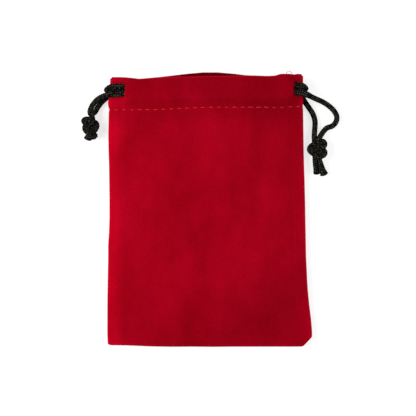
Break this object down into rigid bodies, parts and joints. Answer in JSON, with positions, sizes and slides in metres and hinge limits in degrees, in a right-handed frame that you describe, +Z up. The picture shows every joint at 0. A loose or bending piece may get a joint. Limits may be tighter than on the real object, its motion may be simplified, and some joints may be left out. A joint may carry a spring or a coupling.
{
  "type": "kinchaku drawstring pouch",
  "caption": "Small flat kinchaku pouch of red velvet with a casing at the mouth and black drawstrings knotted at each side.",
  "frame": {"origin": "the point on the table under the middle of the pouch lying on its back, its drawstrings left out", "axes": "+Y from the bottom seam to the mouth, +X to the right seen from the front, +Z up out of the front panel"},
  "size_m": [0.1157, 0.1233, 0.0118],
  "materials": {
    "red_velvet": "deep red cut pile with a soft nap, matt with a faint sheen at the folds",
    "red_thread": "orange-red sewing thread, slightly shiny",
    "black_cord": "black round braid, matt with fine grey-brown glints"
  },
  "bodies": {
    "root": {"front_panel": "red_velvet", "back_panel": "red_velvet", "front_casing_thread": "red_thread", "back_casing_thread": "red_thread", "left_drawstring": "black_cord", "right_drawstring": "black_cord"}
  },
  "joints": []
}
